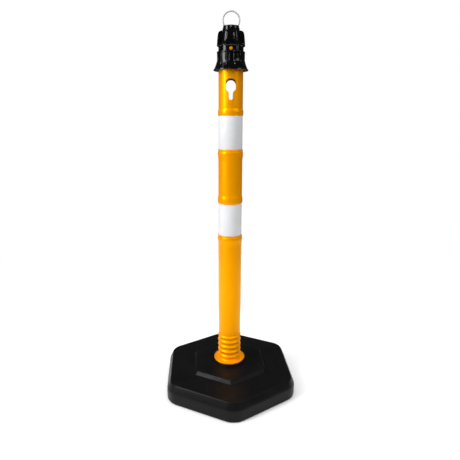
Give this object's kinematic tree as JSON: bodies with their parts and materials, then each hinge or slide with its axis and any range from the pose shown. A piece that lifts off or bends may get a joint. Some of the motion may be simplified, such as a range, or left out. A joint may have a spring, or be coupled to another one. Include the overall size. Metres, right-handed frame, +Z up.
{
  "type": "delineator post",
  "caption": "Flexible yellow delineator post with white reflective bands, a black ring-topped chain cap and a heavy hexagonal rubber base.",
  "frame": {"origin": "centre of the base's underside, on the post's axis", "axes": "+Z up the post; -Y is the front, which the keyhole and the cap's front button face; the base stands turned 4.4 degrees from it"},
  "size_m": [0.392, 0.4224, 1.0772],
  "materials": {
    "base_rubber": "satin moulded rubber",
    "liner_plastic": "matte",
    "yellow_plastic": "satin blow-moulded plastic",
    "reflective_film": "retroreflective film",
    "cap_plastic": "glossy moulded plastic",
    "steel": "bright zinc plated wire"
  },
  "bodies": {
    "base": {"rubber_base": "base_rubber", "base_socket": "liner_plastic"},
    "foot": {"foot_flange": "yellow_plastic"},
    "tube": {"post_tube": "yellow_plastic", "neck_bellows": "yellow_plastic", "reflective_band_lower": "reflective_film", "reflective_band_upper": "reflective_film", "spring_clip": "steel"},
    "button_front": {"lock_button_front": "yellow_plastic"},
    "button_back": {"lock_button_back": "yellow_plastic"},
    "cap": {"cap_sleeve": "cap_plastic", "cap_head": "cap_plastic", "ring_pin": "steel"},
    "ring": {"chain_ring": "steel"}
  },
  "joints": [
    {"name": "post_lift", "type": "slide", "parent": "base", "child": "foot", "axis": [0, 0, 1], "range_m": [0, 0.08]},
    {"name": "neck_flex", "type": "hinge", "parent": "foot", "child": "tube", "pos_m": [0, 0, 0.126], "axis": [1, 0, 0], "range_deg": [-30, 30], "stiffness_Nm_per_rad": 60, "deforming": ["neck_bellows"]},
    {"name": "button_front_press", "type": "slide", "parent": "tube", "child": "button_front", "axis": [0, 1, 0], "range_m": [0, 0.004], "stiffness_N_per_m": 600, "deforming": ["spring_clip"]},
    {"name": "button_back_press", "type": "slide", "parent": "tube", "child": "button_back", "axis": [0, -1, 0], "range_m": [0, 0.004], "stiffness_N_per_m": 600, "deforming": ["spring_clip"]},
    {"name": "cap_lift", "type": "slide", "parent": "tube", "child": "cap", "axis": [0, 0, 1], "range_m": [0, 0.07]},
    {"name": "ring_swing", "type": "hinge", "parent": "cap", "child": "ring", "pos_m": [0, 0, 1.0312], "axis": [1, 0, 0], "range_deg": [-35, 35]}
  ]
}
